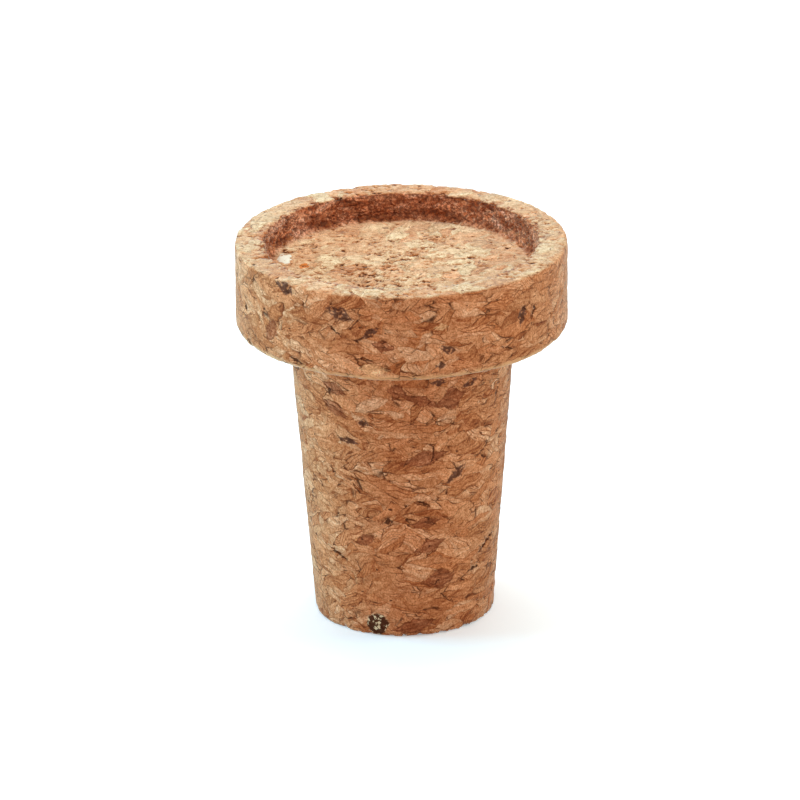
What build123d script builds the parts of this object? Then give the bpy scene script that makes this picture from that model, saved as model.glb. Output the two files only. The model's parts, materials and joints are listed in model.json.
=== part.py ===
"""One-piece stopper of agglomerated cork: a wide round cap, dished on top, over a tapered plug.

It is turned from one pressed block, so it is a single solid of revolution about Z.
The origin is the centre of the plug's end face, on which it stands, and +Z points up through the cap.
All sizes are in millimetres.
"""

import os

from build123d import *

# Cap
CAP_DIAMETER = 45.0
CAP_HEIGHT = 12.0
CAP_TOP_EDGE_RADIUS = 0.3
CAP_LOWER_EDGE_RADIUS = 1.0

# Dish milled into the top of the cap, which leaves a flat rim round it
RIM_WIDTH = 4.0
DISH_DIAMETER = CAP_DIAMETER - 2 * RIM_WIDTH
DISH_DEPTH = 3.6
DISH_MOUTH_RADIUS = 0.3
DISH_COVE_RADIUS = 1.0

# Plug that wedges in the neck, with the corner that the turning tool leaves under the cap
PLUG_TOP_DIAMETER = 30.8
PLUG_END_DIAMETER = 24.4
PLUG_LENGTH = 41.2
PLUG_END_EDGE_RADIUS = 0.4
SHOULDER_CORNER_RADIUS = 0.4

PARTS_FOLDER = "parts"


def section_corners():
    """The sharp corners of the half section, as (radius, height), from the axis outwards and round to it."""
    cap_top = PLUG_LENGTH + CAP_HEIGHT
    dish_floor = cap_top - DISH_DEPTH
    return {
        "end_centre": (0, 0),
        "plug_end": (PLUG_END_DIAMETER / 2, 0),
        "shoulder": (PLUG_TOP_DIAMETER / 2, PLUG_LENGTH),
        "cap_lower_edge": (CAP_DIAMETER / 2, PLUG_LENGTH),
        "cap_top_edge": (CAP_DIAMETER / 2, cap_top),
        "dish_mouth": (DISH_DIAMETER / 2, cap_top),
        "dish_cove": (DISH_DIAMETER / 2, dish_floor),
        "dish_centre": (0, dish_floor),
    }


def corner_radii():
    """The rounding of each corner that isn't on the axis."""
    return {
        "plug_end": PLUG_END_EDGE_RADIUS,
        "shoulder": SHOULDER_CORNER_RADIUS,
        "cap_lower_edge": CAP_LOWER_EDGE_RADIUS,
        "cap_top_edge": CAP_TOP_EDGE_RADIUS,
        "dish_mouth": DISH_MOUTH_RADIUS,
        "dish_cove": DISH_COVE_RADIUS,
    }


def half_section():
    """The closed half section, with its corners rounded."""
    corners = section_corners()
    section = make_face(Polyline(*corners.values(), close=True))
    for name, radius in corner_radii().items():
        corner = section.vertices().sort_by_distance(corners[name])[0]
        section = fillet(corner, radius)
    return section


def cork_stopper():
    """The half section turned about Z."""
    return revolve(Plane.XZ * half_section(), axis=Axis.Z)


def main():
    os.makedirs(PARTS_FOLDER, exist_ok=True)
    export_step(cork_stopper(), os.path.join(PARTS_FOLDER, "cork_stopper.step"))


main()
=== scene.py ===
"""Looks for a one-piece stopper of agglomerated cork, laid out as a Blender add-on and run as a script.

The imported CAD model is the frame. One piece, the turned body, takes the place of its one solid: Geometry
Nodes turn the same half section about Z and give it the relief of pressed and turned cork granules.
Lengths are metres, and a name that ends in mm says where they are millimetres.
"""

import json
import math

import bpy
from mathutils import Euler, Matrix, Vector


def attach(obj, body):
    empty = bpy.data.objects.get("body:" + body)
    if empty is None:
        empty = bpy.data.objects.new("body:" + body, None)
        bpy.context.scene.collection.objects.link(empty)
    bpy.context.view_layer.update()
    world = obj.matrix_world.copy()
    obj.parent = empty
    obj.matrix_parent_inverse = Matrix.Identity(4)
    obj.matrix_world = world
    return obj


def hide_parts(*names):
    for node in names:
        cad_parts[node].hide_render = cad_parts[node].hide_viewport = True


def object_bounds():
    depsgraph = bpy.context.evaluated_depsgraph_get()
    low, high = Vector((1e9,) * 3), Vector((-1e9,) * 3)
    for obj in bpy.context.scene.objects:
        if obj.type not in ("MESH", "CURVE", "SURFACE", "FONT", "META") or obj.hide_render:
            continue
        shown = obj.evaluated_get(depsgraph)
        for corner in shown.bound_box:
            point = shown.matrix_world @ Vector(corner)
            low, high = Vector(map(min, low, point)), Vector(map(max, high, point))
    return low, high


bl_info = {
    "name": "Turned cork stopper",
    "version": (1, 0, 0),
    "blender": (4, 5, 0),
    "location": "View3D > Sidebar > Cork",
    "description": "Turns a stopper of agglomerated cork and sets it on a pale studio floor",
    "category": "Object",
}

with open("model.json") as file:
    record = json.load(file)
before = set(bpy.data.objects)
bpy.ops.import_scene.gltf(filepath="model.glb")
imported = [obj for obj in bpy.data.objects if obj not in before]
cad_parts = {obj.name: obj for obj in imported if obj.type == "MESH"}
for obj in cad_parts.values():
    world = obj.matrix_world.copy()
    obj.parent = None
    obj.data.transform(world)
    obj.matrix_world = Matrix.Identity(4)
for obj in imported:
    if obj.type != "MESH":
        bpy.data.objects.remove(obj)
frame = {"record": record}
CAD_BOX = [list(corner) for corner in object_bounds()]
MOUNTS = {mount["name"]: mount for mount in frame["record"]["mounts"]}

CAD_NODE = "cork_stopper"
MM = 0.001
MM_PER_METRE = 1000.0

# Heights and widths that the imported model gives.
CAP_RADIUS = CAD_BOX[1][0]
CAP_TOP = CAD_BOX[1][2]
SHOULDER = MOUNTS["cap_shoulder"]["pos_m"][2]
DISH_FLOOR = MOUNTS["dish_floor"]["pos_m"][2]
DISH_RADIUS = MOUNTS["dish_wall"]["dims"]["r_mm"] * MM
CAP_RADIUS_MM, CAP_TOP_MM, SHOULDER_MM, DISH_FLOOR_MM, DISH_RADIUS_MM = (
    MM_PER_METRE * size for size in (CAP_RADIUS, CAP_TOP, SHOULDER, DISH_FLOOR, DISH_RADIUS)
)

# The plug's radii and the rounding of each corner, as they are in the solid.
PLUG_TOP_RADIUS = 15.4 * MM
PLUG_END_RADIUS = 12.2 * MM
CAP_TOP_EDGE = 0.3 * MM
CAP_LOWER_EDGE = 1.0 * MM
DISH_MOUTH = 0.3 * MM
DISH_COVE = 1.0 * MM
PLUG_END_EDGE = 0.4 * MM
SHOULDER_CORNER = 0.4 * MM

# Facets round the body. With the pitches of its rings, they keep the skin under 200,000 triangles.
SEGMENTS = 420
MERGE_DISTANCE = 0.01 * MM

# The relief stops this far above the floor.
FLOOR_CLEARANCE = 0.01 * MM

# Layers of flakes, each laid over the ones before: a flake's length, breadth and thickness in mm, its tilt
# in degrees, a seed that moves the pattern, and the share of the layer's flakes that are there.
FLAKE_LAYERS = (
    ((10.0, 6.0, 2.7), (3.0, -5.0, 8.0), 3.7, 1.0),
    ((9.0, 4.8, 2.0), (8.0, 19.0, -20.0), 11.3, 0.42),
    ((8.5, 4.6, 1.9), (-10.0, -23.0, 24.0), 23.9, 0.38),
    ((5.0, 3.2, 1.4), (14.0, 36.0, 45.0), 41.1, 0.26),
    ((4.4, 2.8, 1.0), (-12.0, -9.0, -40.0), 57.5, 0.26),
)

# Sizes of the cork's pattern in mm, and how far one pattern pushes another out of place. A pixel of the
# render is about 0.14 mm across. First, pressing bent the flakes and crushing tore their outlines.
SWIRL_MM = 3.333
SWIRL_REACH_MM = (2.2, 2.2, 1.4)
FRAY_MM = 0.6667
FRAY_REACH_MM = (0.38, 0.38, 0.26)

# Growth rings, which wave and lie wider or closer, and the streaks of tone and dark strokes along them.
WAVE_MM = 3.846
WAVE_REACH_MM = (3.6, 3.6, 3.6)
WIDE_RINGS_MM = 0.7392
CLOSE_RINGS_MM = 0.4189
STREAK_MM = 3.333
STROKE_MM = 2.0

# Cracks that gape between flakes, pores, and the unevenness of the turned skin.
GAPING_CRACK_MM = 1.667
PORE_SPACING_MM = (1.818, 1.818, 1.176)
GRAIN_MM = 1.111

# Cork's cells measure about 0.04 mm and sanding leaves finer marks still, too fine to show, so the speckle
# and the grit are drawn coarser than that.
SPECKLE_MM = 0.2222
GRIT_MM = 0.6667
GRIT_DEPTH = 0.12 * MM

# Pits that milling tore in the top, the swarms that they lie in, and where they lie closest together.
PIT_MM = (1.053, 0.7692, 0.8333)
PIT_SWARM_MM = 6.25
PIT_SWARM_MIDDLE_MM = (-4.0, -3.0, 50.0)

# Crumbs on the dish's milled wall, its lighter and darker patches and its crumbled mouth.
CRUMB_MM = 0.4762
CRUMB_FRAY_MM = 0.3846
CRUMB_FRAY_REACH_MM = (0.7, 0.7, 0.7)
WALL_PATCH_MM = (3.333, 3.333, 1.25)
CRUMBLED_MOUTH_MM = 1.111

# Chips bitten out of the edges.
EDGE_CHIP_MM = 1.333

# The single marks: torn outlines, a wilder one for the pale chip, a red-brown flake's lines, bark's mottle.
MARK_FRAY_MM = 0.7692
MARK_FRAY_REACH_MM = (0.9, 0.9, 0.9)
CHIP_FRAY_REACH_MM = (1.7, 2.6, 0.5)
MARK_LINES_MM = (4.545, 2.0, 0.4167)
BARK_MOTTLE_MM = 0.5263

# Depths of what lies in the skin, and the height of the pale chip, in times the granules' relief.
PIT_DEPTH = 2.4
CRACK_DEPTH = 1.2
PORE_DEPTH = 3.0
VOID_DEPTH = 4.0
BARK_DEPTH = 1.2
CHIP_HEIGHT = 2.5

# Between these heights painted shade darkens the plug towards its end, near the floor.
FOOT_FADE_MM = (8.0, 1.0)

# A noise's colours lie round this grey. Less it, they push to every side alike.
MID_GREY = (0.5, 0.5, 0.5)

# Turning and sanding leave short fibres, which give a warm sheen.
SHEEN_TINT = "#FFE3CA"

# The room's own light is a little warmer than the lamps.
FILL_TINT = "#FFF4E6"
LAMP_AIM = Vector((0.0, 0.0, 0.03))

# The paper floor gives back less light to the cork than the camera sees on it, and its glow keeps it white.
FLOOR_REACH = 3.0
FLOOR_BOUNCE = 0.33
FLOOR_SEEN = 0.95
FLOOR_GLOW = 0.24

# Cork grows redder as it darkens: green and blue fall by these powers of what red falls by.
DEEPENING = (1.0, 1.5, 1.9)

# A mark ends where its distance, in half sizes, comes to this, give or take a soft border.
MARK_EDGE = 1.22
MARK_BORDER = 0.08
SOFTER_BORDERS = {"rubbed": 0.35, "bark": 0.2, "husk": 0.15}

# Single marks that this stopper shows: what each is, its middle in mm, its half sizes in mm along, into and
# across it, and its turn in degrees. A red mark is a red-brown flake, bark a dark bit, husk a dark bit with
# pale grains in it, a void a hole or an open crack, and cream a pale cream flake. The pale and the orange
# ones are chips on the dish's floor, and rubbed is where the rim is less dusty and has less painted sheen.
MARKS = (
    ("red", (2.6, -14.8, 35.4), (3.6, 3.0, 0.65), (0.0, 20.0, 0.0)),
    ("red", (-0.8, -15.0, 36.9), (1.1, 3.0, 1.1), (0.0, 20.0, 0.0)),
    ("red", (3.0, -13.1, 17.1), (2.0, 3.0, 0.7), (0.0, -8.0, 0.0)),
    ("red", (3.6, -12.8, 13.6), (2.2, 3.0, 0.9), (0.0, -20.0, 0.0)),
    ("red", (-5.2, -12.3, 14.4), (1.5, 3.0, 0.7), (0.0, -25.0, 0.0)),
    ("red", (-9.2, -11.9, 36.3), (1.9, 3.0, 0.8), (0.0, 20.0, 0.0)),
    ("red", (6.6, -13.4, 35.3), (2.0, 3.0, 1.5), (0.0, -15.0, 0.0)),
    ("red", (4.9, -11.9, 8.4), (2.5, 3.0, 1.3), (0.0, -8.0, 0.0)),
    ("red", (-17.5, -14.2, 45.6), (0.9, 3.0, 1.7), (0.0, 15.0, 0.0)),
    ("red", (-2.6, -22.3, 46.3), (1.3, 3.0, 0.8), (0.0, 10.0, 0.0)),
    ("red", (1.5, -12.2, 1.6), (2.6, 3.0, 1.0), (0.0, -12.0, 0.0)),
    ("red", (-9.4, -11.7, 33.4), (2.6, 3.0, 0.8), (0.0, 27.0, 0.0)),
    ("red", (3.0, -14.0, 26.8), (3.3, 3.0, 1.0), (0.0, -12.0, 0.0)),
    ("bark", (4.9, -14.5, 37.9), (1.1, 3.0, 0.45), (0.0, 4.0, 0.0)),
    ("bark", (9.1, -12.0, 37.0), (1.2, 3.0, 0.55), (0.0, -22.0, 0.0)),
    ("bark", (-5.3, -13.7, 31.9), (0.7, 3.0, 0.5), (0.0, 0.0, 0.0)),
    ("bark", (-7.5, -12.4, 28.9), (1.7, 3.0, 0.4), (0.0, 6.0, 0.0)),
    ("bark", (7.2, -12.1, 23.9), (2.0, 3.0, 0.65), (0.0, -42.0, 0.0)),
    ("husk", (-3.7, -11.7, 1.7), (1.2, 3.0, 1.3), (0.0, 0.0, 0.0)),
    ("bark", (-8.4, -20.9, 50.4), (2.0, 3.0, 0.9), (0.0, 22.0, 0.0)),
    ("bark", (-4.3, -22.1, 48.0), (1.5, 3.0, 0.5), (0.0, -38.0, 0.0)),
    ("bark", (16.1, -15.7, 47.9), (0.5, 3.0, 1.4), (0.0, 14.0, 0.0)),
    ("bark", (6.2, -21.6, 45.4), (1.2, 3.0, 0.6), (0.0, 18.0, 0.0)),
    ("bark", (5.1, -21.9, 43.3), (0.6, 3.0, 0.6), (0.0, 0.0, 0.0)),
    ("bark", (-15.6, -16.2, 52.4), (1.8, 3.0, 0.8), (0.0, 16.0, 0.0)),
    ("void", (-2.2, -13.4, 17.3), (0.7, 2.0, 0.42), (0.0, -20.0, 0.0)),
    ("void", (-9.1, -20.6, 48.0), (1.5, 3.0, 0.12), (0.0, 38.0, 0.0)),
    ("void", (-9.1, -9.4, 11.4), (2.3, 3.0, 0.16), (0.0, 30.0, 0.0)),
    ("void", (11.3, -6.7, 11.8), (1.7, 3.0, 0.16), (0.0, -45.0, 0.0)),
    ("void", (2.5, -13.5, 20.1), (1.2, 2.0, 0.2), (0.0, 16.0, 0.0)),
    ("void", (9.3, -8.9, 8.6), (1.1, 2.0, 0.18), (0.0, -12.0, 0.0)),
    ("void", (-14.3, -17.4, 42.5), (1.4, 2.0, 0.22), (0.0, 20.0, 0.0)),
    ("void", (-21.0, -8.0, 46.7), (0.5, 1.0, 0.4), (0.0, 0.0, 0.0)),
    ("void", (6.3, 18.5, 53.2), (0.9, 0.6, 0.7), (0.0, 0.0, 15.0)),
    ("void", (-8.8, 17.0, 53.2), (0.7, 0.5, 0.7), (0.0, 0.0, 0.0)),
    ("void", (-12.0, 7.8, 49.6), (0.7, 0.8, 0.8), (0.0, 0.0, 0.0)),
    ("void", (4.2, 13.3, 49.6), (0.9, 0.7, 0.8), (0.0, 0.0, 10.0)),
    ("void", (17.6, -14.0, 47.9), (0.12, 3.0, 1.1), (0.0, 14.0, 0.0)),
    ("void", (14.2, -17.4, 44.0), (1.5, 3.0, 0.12), (0.0, 25.0, 0.0)),
    ("cream", (5.3, -21.9, 48.7), (1.0, 3.0, 0.45), (0.0, -6.0, 0.0)),
    ("cream", (-3.9, -22.2, 42.9), (2.2, 3.0, 0.7), (0.0, 4.0, 0.0)),
    ("pale", (-15.7, 2.4, 49.6), (0.72, 1.3, 1.0), (0.0, 0.0, -8.0)),
    ("rubbed", (1.0, 21.0, 53.2), (15.0, 3.5, 1.0), (0.0, 0.0, 0.0)),
    ("orange", (-13.2, -0.2, 49.6), (0.65, 1.0, 1.0), (0.0, 0.0, -20.0)),
)


def linear(hex_colour):
    """An sRGB hex colour as linear red, green and blue."""
    shares = [int(hex_colour[i : i + 2], 16) / 255 for i in (1, 3, 5)]
    return [s / 12.92 if s <= 0.04045 else ((s + 0.055) / 1.055) ** 2.4 for s in shares]


def add_node(tree, kind, inputs=(), **settings):
    """Adds a node with its settings. Inputs go by place in a list, or by name or place in a dict. Each is a
    number, a vector, a socket to link from, or a node whose first live output is linked.

    Sockets that share a name go by place. In a Mix node 0 is the share, 2 and 3 are the numbers, 4 and 5 the
    vectors and 6 and 7 the colours. In a Map Range of vectors 6 is the value, and 9 and 10 are the ends that
    it is mapped to."""
    node = tree.nodes.new(kind)
    for name, value in settings.items():
        setattr(node, name, value)
    for key, value in inputs.items() if isinstance(inputs, dict) else enumerate(inputs):
        if isinstance(value, bpy.types.Node):
            value = next(socket for socket in value.outputs if socket.enabled)
        if isinstance(value, bpy.types.NodeSocket):
            tree.links.new(value, node.inputs[key])
        else:
            node.inputs[key].default_value = value
    return node


def shaded(tree, colour, share, low, high):
    """The colour darkened to the shade low where the share is 0, and lightened to high where it is 1."""
    span = {6: share, 9: [low**power for power in DEEPENING], 10: [high**power for power in DEEPENING]}
    shade = add_node(tree, "ShaderNodeMapRange", span, data_type="FLOAT_VECTOR")
    return add_node(tree, "ShaderNodeVectorMath", (colour, shade), operation="MULTIPLY")


def cork_fields(tree, place):
    """The pattern of pressed granules as a solid, from a place in mm, in a shader or a geometry tree alike.

    The colour and the relief both come from it: each flake's own random numbers, its growth rings, the
    cracks between flakes and the pores."""
    # Pressing bent the flakes, and crushing tore their outlines.
    swirl = add_node(tree, "ShaderNodeTexNoise", {"Vector": place, "Scale": 1 / SWIRL_MM, "Detail": 1.0})
    swirl = add_node(tree, "ShaderNodeVectorMath", (swirl.outputs["Color"], MID_GREY), operation="SUBTRACT")
    bent = add_node(tree, "ShaderNodeVectorMath", (swirl, SWIRL_REACH_MM, place), operation="MULTIPLY_ADD")
    fray = add_node(tree, "ShaderNodeTexNoise", {"Vector": place, "Scale": 1 / FRAY_MM, "Detail": 2.0})
    fray = add_node(tree, "ShaderNodeVectorMath", (fray.outputs["Color"], MID_GREY), operation="SUBTRACT")
    torn = add_node(tree, "ShaderNodeVectorMath", (fray, FRAY_REACH_MM, bent), operation="MULTIPLY_ADD")

    # Each layer's flakes lie over the layers before it.
    chance = None
    edge = None
    lean = None
    for size, tilt, seed, share in FLAKE_LAYERS:
        turn = Euler([math.radians(angle) for angle in tilt])
        laid = {"Vector": torn, "Rotation": turn}
        laid = add_node(tree, "ShaderNodeVectorRotate", laid, rotation_type="EULER_XYZ")
        per_flake = [1 / length for length in size]
        laid = (laid, per_flake, (seed, seed, seed))
        laid = add_node(tree, "ShaderNodeVectorMath", laid, operation="MULTIPLY_ADD")
        flake = add_node(tree, "ShaderNodeTexVoronoi", {"Vector": laid, "Scale": 1.0})
        border = {"Vector": laid, "Scale": 1.0}
        border = add_node(tree, "ShaderNodeTexVoronoi", border, feature="DISTANCE_TO_EDGE")
        border = add_node(tree, "ShaderNodeMath", (border, size[2]), operation="MULTIPLY")
        thin_way = turn.to_matrix().transposed() @ Vector((0.0, 0.0, 1.0))
        if chance is None:
            chance = flake.outputs["Color"]
            edge = border
            lean = thin_way
            continue
        lot = add_node(tree, "ShaderNodeSeparateXYZ", (flake.outputs["Color"],))
        there = add_node(tree, "ShaderNodeMath", (lot.outputs["X"], share), operation="LESS_THAN")
        chance = {0: there, 4: chance, 5: flake.outputs["Color"]}
        chance = add_node(tree, "ShaderNodeMix", chance, data_type="VECTOR")
        edge = add_node(tree, "ShaderNodeMix", {0: there, 2: edge, 3: border}, data_type="FLOAT")
        lean = add_node(tree, "ShaderNodeMix", {0: there, 4: lean, 5: thin_way}, data_type="VECTOR")

    lot = add_node(tree, "ShaderNodeTexWhiteNoise", {"Vector": chance}).outputs["Color"]
    lots = add_node(tree, "ShaderNodeSeparateXYZ", (lot,))
    chances = add_node(tree, "ShaderNodeSeparateXYZ", (chance,))

    # Growth rings cross each flake at its own lean and spacing, with streaks and strokes drawn along them.
    stray = add_node(tree, "ShaderNodeVectorMath", (lot, MID_GREY), operation="SUBTRACT")
    lean = add_node(tree, "ShaderNodeVectorMath", (stray, (1.0, 1.2, 0.4), lean), operation="MULTIPLY_ADD")
    lean = add_node(tree, "ShaderNodeVectorMath", (lean,), operation="NORMALIZE")
    wave = add_node(tree, "ShaderNodeTexNoise", {"Vector": place, "Scale": 1 / WAVE_MM, "Detail": 1.0})
    wave = add_node(tree, "ShaderNodeVectorMath", (wave.outputs["Color"], MID_GREY), operation="SUBTRACT")
    wavy = add_node(tree, "ShaderNodeVectorMath", (wave, WAVE_REACH_MM, place), operation="MULTIPLY_ADD")
    across = add_node(tree, "ShaderNodeVectorMath", (wavy, lean), operation="DOT_PRODUCT").outputs["Value"]
    wide, close = (2 * math.pi / spacing for spacing in (WIDE_RINGS_MM, CLOSE_RINGS_MM))
    pace = {"Value": lots.outputs["Z"], "To Min": wide, "To Max": close}
    pace = add_node(tree, "ShaderNodeMapRange", pace)
    drawn = add_node(tree, "ShaderNodeMath", (across, 8.0), operation="MULTIPLY")
    drawn = add_node(tree, "ShaderNodeVectorMath", {0: lean, "Scale": drawn}, operation="SCALE")
    drawn = add_node(tree, "ShaderNodeVectorMath", (wavy, drawn), operation="ADD")
    drawn = (chance, (37.0, 37.0, 37.0), drawn)
    drawn = add_node(tree, "ShaderNodeVectorMath", drawn, operation="MULTIPLY_ADD")
    streak = add_node(tree, "ShaderNodeTexNoise", {"Vector": drawn, "Scale": 1 / STREAK_MM, "Detail": 2.0})
    ring = add_node(tree, "ShaderNodeMath", (across, pace), operation="MULTIPLY")
    ring = add_node(tree, "ShaderNodeMath", (streak, 2.4, ring), operation="MULTIPLY_ADD")
    ring = add_node(tree, "ShaderNodeMath", (ring,), operation="SINE")
    ring = {"Value": ring, "From Min": 0.55, "From Max": 1.0}
    ring = add_node(tree, "ShaderNodeMapRange", ring, interpolation_type="SMOOTHSTEP")
    dash = add_node(tree, "ShaderNodeTexVoronoi", {"Vector": drawn, "Scale": 1 / STROKE_MM})
    length = add_node(tree, "ShaderNodeSeparateXYZ", (dash.outputs["Color"],))
    length = {"Value": length, "From Min": 0.68, "From Max": 1.0, "To Max": 0.42}
    length = add_node(tree, "ShaderNodeMapRange", length)
    dash = add_node(tree, "ShaderNodeMath", (length, dash), operation="SUBTRACT")
    dash = {"Value": dash, "From Min": 0.0, "From Max": 0.12}
    dash = add_node(tree, "ShaderNodeMapRange", dash, interpolation_type="SMOOTHSTEP")

    # Here and there the border between flakes gapes as a crack, and pores are strewn all through.
    gape = {"Vector": place, "Scale": 1 / GAPING_CRACK_MM, "Detail": 1.0}
    gape = add_node(tree, "ShaderNodeTexNoise", gape)
    gape = add_node(tree, "ShaderNodeMapRange", {"Value": gape, "From Min": 0.46, "From Max": 0.66})
    crack = {"Value": edge, "From Min": 0.09, "From Max": 0.015}
    crack = add_node(tree, "ShaderNodeMapRange", crack, interpolation_type="SMOOTHSTEP")
    crack = add_node(tree, "ShaderNodeMath", (gape, crack), operation="MULTIPLY")

    border = add_node(tree, "ShaderNodeMapRange", {"Value": edge, "From Min": 0.17, "From Max": 0.0})

    pore = add_node(tree, "ShaderNodeVectorMath", (torn, PORE_SPACING_MM), operation="DIVIDE")
    pore = add_node(tree, "ShaderNodeTexVoronoi", {"Vector": pore, "Scale": 1.0})
    breadth = add_node(tree, "ShaderNodeSeparateXYZ", (pore.outputs["Color"],))
    breadth = {"Value": breadth, "From Min": 0.6, "From Max": 1.0, "To Max": 0.2}
    breadth = add_node(tree, "ShaderNodeMapRange", breadth)
    pore = add_node(tree, "ShaderNodeMath", (breadth, pore), operation="SUBTRACT")
    pore = {"Value": pore, "From Min": 0.0, "From Max": 0.06}
    pore = add_node(tree, "ShaderNodeMapRange", pore, interpolation_type="SMOOTHSTEP")
    return {
        "tone": lots.outputs["X"],
        "hue": lots.outputs["Z"],
        "ringed": lots.outputs["Y"],
        "level": chances.outputs["Y"],
        "streak": streak.outputs[0],
        "ring": ring.outputs[0],
        "crack": crack.outputs[0],
        "pore": pore.outputs[0],
        "dash": dash.outputs[0],
        "border": border.outputs[0],
    }


def from_the_axis(tree, place):
    """A place in mm as its distance from the turning axis and its height."""
    height = add_node(tree, "ShaderNodeSeparateXYZ", (place,)).outputs["Z"]
    flat = add_node(tree, "ShaderNodeVectorMath", (place, (1.0, 1.0, 0.0)), operation="MULTIPLY")
    return add_node(tree, "ShaderNodeVectorMath", (flat,), operation="LENGTH").outputs["Value"], height


def single_marks(tree, place):
    """How far a place in mm belongs to each kind of single mark, from 0 to 1. With them come the outline of
    the red-brown flakes and the lines that run along each."""
    ragged = add_node(tree, "ShaderNodeTexNoise", {"Vector": place, "Scale": 1 / MARK_FRAY_MM, "Detail": 2.0})
    ragged = add_node(tree, "ShaderNodeVectorMath", (ragged.outputs["Color"], MID_GREY), operation="SUBTRACT")
    frayed = (ragged, CHIP_FRAY_REACH_MM, place)
    frayed = add_node(tree, "ShaderNodeVectorMath", frayed, operation="MULTIPLY_ADD")
    ragged = (ragged, MARK_FRAY_REACH_MM, place)
    ragged = add_node(tree, "ShaderNodeVectorMath", ragged, operation="MULTIPLY_ADD")
    shares = {}
    along = place
    for kind, middle, half_sizes, turn in MARKS:
        turn = [math.radians(angle) for angle in turn]
        away = {"Vector": frayed if kind == "pale" else ragged, "Center": middle, "Rotation": turn}
        away = add_node(tree, "ShaderNodeVectorRotate", away, rotation_type="EULER_XYZ", invert=True)
        away = add_node(tree, "ShaderNodeVectorMath", (away, middle), operation="SUBTRACT")
        away = add_node(tree, "ShaderNodeVectorMath", (away, half_sizes), operation="DIVIDE")
        away = add_node(tree, "ShaderNodeVectorMath", (away,), operation="ABSOLUTE")
        if kind == "pale":
            sides = add_node(tree, "ShaderNodeSeparateXYZ", (away,)).outputs
            away = add_node(tree, "ShaderNodeMath", (sides["X"], sides["Y"]), operation="MAXIMUM")
            away = add_node(tree, "ShaderNodeMath", (away, sides["Z"]), operation="MAXIMUM")
        elif kind == "husk":
            away = add_node(tree, "ShaderNodeVectorMath", (away,), operation="LENGTH").outputs["Value"]
        else:
            away = (away, (1.0, 1.0, 1.0))
            away = add_node(tree, "ShaderNodeVectorMath", away, operation="DOT_PRODUCT").outputs["Value"]
        soft = SOFTER_BORDERS.get(kind, MARK_BORDER)
        share = {"Value": away, "From Min": MARK_EDGE + soft, "From Max": MARK_EDGE - soft}
        share = add_node(tree, "ShaderNodeMapRange", share, interpolation_type="SMOOTHSTEP")
        if kind == "red":
            inside = {"Vector": place, "Center": middle, "Rotation": turn}
            inside = add_node(
                tree, "ShaderNodeVectorRotate", inside, rotation_type="EULER_XYZ", invert=True
            )
            along = add_node(tree, "ShaderNodeMix", {0: share, 4: along, 5: inside}, data_type="VECTOR")
            outline = add_node(tree, "ShaderNodeMath", (away, MARK_EDGE, 0.14), operation="COMPARE")
            outline = (outline, shares.get("outline", 0.0))
            shares["outline"] = add_node(tree, "ShaderNodeMath", outline, operation="MAXIMUM")
        if kind in shares:
            share = add_node(tree, "ShaderNodeMath", (share, shares[kind]), operation="MAXIMUM")
        shares[kind] = share
    lines = add_node(tree, "ShaderNodeVectorMath", (along, MARK_LINES_MM), operation="DIVIDE")
    lines = add_node(tree, "ShaderNodeTexNoise", {"Vector": lines, "Scale": 1.0, "Detail": 2.0})
    lines = add_node(tree, "ShaderNodeMapRange", {"Value": lines, "From Min": 0.35, "From Max": 0.65})
    shares["lines"] = lines
    return shares


def torn_pits(tree, place):
    """Pits that milling tore out of the top, in swarms, from 0 to 1 in the middle of a pit."""
    pit = add_node(tree, "ShaderNodeVectorMath", (place, PIT_MM), operation="DIVIDE")
    pit = {"Vector": pit, "Scale": 1.0, "Detail": 2.0, "Roughness": 0.6}
    pit = add_node(tree, "ShaderNodeTexNoise", pit)
    swarm = add_node(tree, "ShaderNodeTexNoise", {"Vector": place, "Scale": 1 / PIT_SWARM_MM, "Detail": 1.0})
    pit = add_node(tree, "ShaderNodeMath", (swarm, 0.35, pit), operation="MULTIPLY_ADD")
    away = (place, PIT_SWARM_MIDDLE_MM)
    away = add_node(tree, "ShaderNodeVectorMath", away, operation="DISTANCE").outputs["Value"]
    thinned = {"Value": away, "From Min": 6.0, "From Max": 22.0, "To Max": 0.09}
    thinned = add_node(tree, "ShaderNodeMapRange", thinned)
    pit = add_node(tree, "ShaderNodeMath", (pit, thinned), operation="SUBTRACT")
    pit = {"Value": pit, "From Min": 0.685, "From Max": 0.845}
    return add_node(tree, "ShaderNodeMapRange", pit)


def wall_crumbs(tree, place):
    """The crumbs that milling left on the dish's wall: each crumb's own random number, the holes between
    crumbs as 0 to 1, and the distance from a crumb's middle in crumbs."""
    loose = add_node(tree, "ShaderNodeTexNoise", {"Vector": place, "Scale": 1 / CRUMB_FRAY_MM, "Detail": 3.0})
    loose = (loose.outputs["Color"], CRUMB_FRAY_REACH_MM, place)
    loose = add_node(tree, "ShaderNodeVectorMath", loose, operation="MULTIPLY_ADD")
    crumb = {"Vector": loose, "Scale": 1 / CRUMB_MM}
    crumb = add_node(tree, "ShaderNodeTexVoronoi", crumb, distance="MANHATTAN")
    chance = add_node(tree, "ShaderNodeSeparateXYZ", (crumb.outputs["Color"],)).outputs["X"]
    hole = {"Value": crumb.outputs["Distance"], "From Min": 0.62, "From Max": 0.95}
    hole = add_node(tree, "ShaderNodeMapRange", hole, interpolation_type="SMOOTHSTEP").outputs["Result"]
    return chance, hole, crumb.outputs["Distance"]


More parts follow.
